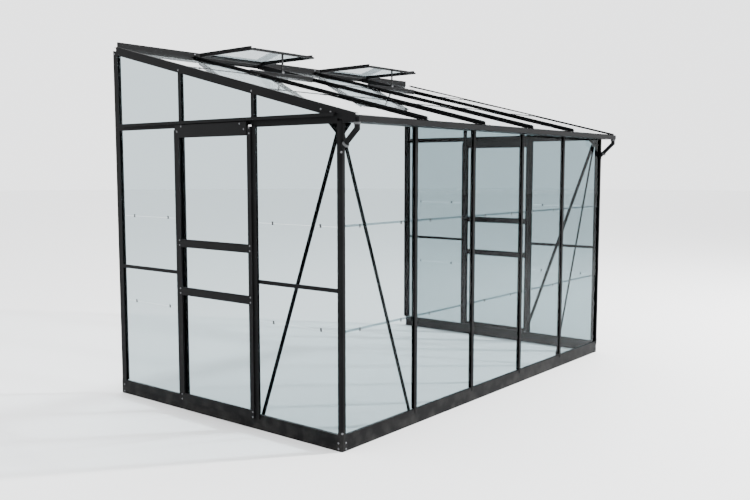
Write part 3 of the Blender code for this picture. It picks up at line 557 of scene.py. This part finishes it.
# %% Bolts on the doors
for side, sign in SIDES:
    low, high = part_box(f"door_{side}_frame")
    face = high.x if sign > 0 else low.x
    stile = face - sign * 0.003
    top = high.z - 0.0185
    spots = [(face, high.y - 0.086, top - 0.0095), (face, high.y - 0.048, top - 0.041),
             (face, low.y + 0.114, top - 0.0095), (face, low.y + 0.080, top - 0.041),
             (stile, low.y + 0.040, top - 0.034), (stile, low.y + 0.040, top - 0.065),
             (stile, low.y + 0.040, 0.104), (stile, low.y + 0.040, 0.074),
             (stile, high.y - 0.040, top - 0.034), (stile, high.y - 0.040, 0.104),
             (stile, high.y - 0.040, 0.074)]
    for z in (0.735, 0.764, 1.028, 1.057):
        spots += [(stile, low.y + 0.047, z), (stile, high.y - 0.047, z)]
    bm = bmesh.new()
    for place in spots:
        stamp(bm, bolt, aim(place, (sign, 0, 0)) @ Matrix.Scale(0.72, 4))
    piece(f"door_bolts_{side}", bm, [bolt_steel], f"door_{side}")

# %% [markdown]
# ## Door seals
# A thin rubber bead holds each door pane against its rails, and a brush strip closes the gap behind
# each stile. A bead is a flat frame: a rectangle inset by its width, its middle deleted, then pushed.

# %% Beads and brushes
def bead(y_range, z_range, x, push, width=0.004):
    bm = bmesh.new()
    (y0, y1), (z0, z1) = y_range, z_range
    face = bm.faces.new([bm.verts.new((x, y, z)) for y, z in ((y0, z0), (y1, z0), (y1, z1), (y0, z1))])
    bmesh.ops.inset_region(bm, faces=[face], thickness=width, use_boundary=True, use_even_offset=True)
    bmesh.ops.delete(bm, geom=[face], context="FACES")
    grown = bmesh.ops.extrude_face_region(bm, geom=bm.faces[:])["geom"]
    bmesh.ops.translate(bm, verts=[v for v in grown if isinstance(v, bmesh.types.BMVert)], vec=(push, 0, 0))
    return bm


DOOR_LIGHTS = ((0.111, 0.723), (0.771, 1.016), (1.064, 1.673))
for side, sign in SIDES:
    low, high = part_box(f"door_{side}_frame")
    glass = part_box(f"door_{side}_glass")
    outer = glass[1].x if sign > 0 else glass[0].x
    y_range = (low.y + 0.0615, high.y - 0.0615)
    shapes = [bead(y_range, (a + 0.0005, b - 0.0005), outer + sign * 0.0005, sign * 0.004)
              for a, b in DOOR_LIGHTS]
    piece(f"door_beads_{side}", gathered(shapes), [rubber], f"door_{side}",
          smooth=False)
    inner = (low.x if sign > 0 else high.x)
    strips = [block((inner - sign * 0.0035, y - 0.003, 0.080),
                    (inner - sign * 0.0003, y + 0.003, 1.700), 0.0006)
              for y in (low.y + 0.040, high.y - 0.040)]
    piece(f"door_brushes_{side}", gathered(strips), [rubber], f"door_{side}")

# %% [markdown]
# ## Roof bar caps and vent curbs
# A capping is pressed over each roof bar and stands proud of the glass. Beside each vent opening a
# folded strip, the curb, carries the vent's weight and keeps rain out. Both are long straight pieces,
# so each is a block lying along Y that is turned to the roof's pitch about its lower end.

# %% Caps and curbs
def up_the_roof(x_range, y_range, z_range, width):
    """Block along the slope: across, from and to along Y, and above the roof line."""
    length = (y_range[1] - y_range[0]) / math.cos(PITCH)
    bm = block((x_range[0], 0, z_range[0]), (x_range[1], length, z_range[1]), width)
    place = Matrix.Translation((0, y_range[0], roof_z(y_range[0])))
    bmesh.ops.transform(bm, verts=bm.verts, matrix=place @ Matrix.Rotation(PITCH, 4, "X"))
    return bm


shapes = []
for n, x in enumerate(BARS_X, start=1):
    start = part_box(f"roof_bar_{n}")[0].y + 0.004
    shapes.append(up_the_roof((x - 0.0065, x + 0.0065), (start, ridge[0].y - 0.002), (-0.0005, 0.008), 0.002))
piece("roof_bar_caps", gathered(shapes), [frame_coat])
shapes = []
for n in (1, 2):
    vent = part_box(f"roof_vent_{n}")
    middle = (vent[0].x + vent[1].x) / 2
    bays = [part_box(f"roof_glass_{k}") for k in range(1, 6)]
    bay = min(bays, key=lambda box: abs((box[0].x + box[1].x) / 2 - middle))
    for edge in (-0.295, 0.295):
        shapes.append(up_the_roof((middle + edge - 0.0015, middle + edge + 0.0015),
                                  (bay[1].y + 0.002, ridge[0].y - 0.002), (-0.030, 0.006), 0.0005))
piece("vent_curbs", gathered(shapes), [frame_coat])

# %% [markdown]
# ## Plates and collars
# Where a front bar meets the base a short plate laps down over the sill. Each gutter outlet gets a
# collar, and each pipe a shoe at its lower end.

# %% Foot plates
shapes = [block((x - 0.0125, FRONT - 0.0035, BASE_TOP - 0.022),
                (x + 0.0125, FRONT - 0.0003, BASE_TOP + 0.001)) for x in BARS_X]
piece("bar_foot_plates", gathered(shapes), [frame_coat])

# %% [markdown]
# A moulded collar holds each outlet in the gutter's floor, and a shoe finishes the pipe's lower end.
# Both are rings, so a closed profile is spun; the flange stays narrower than the gutter's front lip.

# %% Outlet collars and shoes
shapes = []
for side, sign in SIDES:
    low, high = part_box(f"gutter_outlet_{side}")
    x, y = (low.x + high.x) / 2, FRONT - 0.098
    ring = turned([(0.0155, -0.012), (0.0180, -0.012), (0.0184, -0.010), (0.0184, -0.002), (0.0195, -0.002),
                   (0.0195, 0.0), (0.0155, 0.0), (0.0155, -0.012)], 24)
    bmesh.ops.translate(ring, verts=ring.verts, vec=(x, y, high.z - 0.0004))
    shapes.append(ring)
    shoe = turned([(0.0155, 0.0), (0.0200, 0.0), (0.0200, 0.004), (0.0172, 0.007), (0.0172, 0.012),
                   (0.0155, 0.012), (0.0155, 0.0)], 24)
    head = Vector((0, -0.9, 0.82)).normalized()
    bmesh.ops.transform(shoe, verts=shoe.verts, matrix=aim((x, high.y - 0.016, low.z + 0.030), head))
    shapes.append(shoe)
piece("outlet_collars", gathered(shapes), [nylon])

# %% [markdown]
# ## Roof vents
# A vent hangs from a barrel hinge under the ridge and rests on a flat stay with peg holes. The barrel
# is a turned rod with knuckles; two pegs stand on the sill, and a cup holds the foot of the stay.

# %% Vent fittings
shapes = []
for n in (1, 2):
    low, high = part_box(f"roof_vent_{n}")
    pin_y, pin_z = high.y + 0.004, roof_z(high.y) + 0.012
    knuckles = 9
    width = (high.x - low.x - 0.02) / knuckles
    profile = [(0.0, 0.0)]
    for k in range(knuckles):
        profile += [(0.0042, k * width + 0.0004), (0.0046, k * width + 0.001),
                    (0.0046, (k + 1) * width - 0.001), (0.0042, (k + 1) * width - 0.0004)]
    profile.append((0.0, knuckles * width))
    barrel = turned(profile, 12)
    bmesh.ops.transform(barrel, verts=barrel.verts, matrix=aim((low.x + 0.01, pin_y, pin_z), (1, 0, 0)))
    shapes.append(barrel)
    middle = (low.x + high.x) / 2
    stay_y = WALL - 0.568
    for dz in (0.030, 0.050, 0.070, 0.090):
        peg = turned([(0, 0), (0.0028, 0), (0.0028, 0.0008), (0, 0.0012)], 10)
        bmesh.ops.transform(peg, verts=peg.verts,
                            matrix=aim((middle, stay_y - 0.0021, roof_z(stay_y) + dz), (0, -1, 0)))
        shapes.append(peg)
    cup = block((middle - 0.012, stay_y - 0.008, roof_z(stay_y) + 0.010),
                (middle + 0.012, stay_y - 0.0023, roof_z(stay_y) + 0.024), 0.0015)
    shapes.append(cup)
piece("vent_fittings", gathered(shapes), [nylon])

# %% [markdown]
# ## Floor and light
# The floor is plain and pale. The studio is an even near-white surround with one lamp high on the
# right so that the bars throw faint shadows to the left.

# %% Floor
bm = bmesh.new()
bmesh.ops.create_circle(bm, cap_ends=True, segments=64, radius=60.0)
mesh = bpy.data.meshes.new("floor")
bm.to_mesh(mesh)
bm.free()
floor = bpy.data.objects.new("floor", mesh)
bpy.context.scene.collection.objects.link(floor)
floor.location.z = -0.0005
paint = Finish("floor_paint", {"Base Color": (0.90, 0.90, 0.90, 1), "Roughness": 0.6})
mesh.materials.append(paint.material)
print("floor ready")

# %% [markdown]
# The surround gives most of the light, and the lamp only shapes it. A small lamp draws crisper shadows
# than a large one, so its size is chosen for a faint line on the floor behind each bar.

# %% Studio light
world = bpy.data.worlds.new("studio")
bpy.context.scene.world = world
world.use_nodes = True
background = world.node_tree.nodes["Background"]
background.inputs["Color"].default_value = (0.985, 0.99, 1.0, 1)
background.inputs["Strength"].default_value = 2.7
lamp = bpy.data.objects.new("soft_lamp", bpy.data.lights.new("soft_lamp", "AREA"))
bpy.context.scene.collection.objects.link(lamp)
lamp.data.shape = "DISK"
lamp.data.size = 0.6
lamp.data.energy = 2600.0
lamp.location = (5.5, -6.5, 6.5)
lamp.rotation_euler = (Vector((0, 0, 0.6)) - lamp.location).to_track_quat("-Z", "Y").to_euler()
print("lamp at", tuple(lamp.location))

# %% [markdown]
# The dressed greenhouse has to stay inside the model's own box.

# %% Update the scene
bpy.context.view_layer.update()
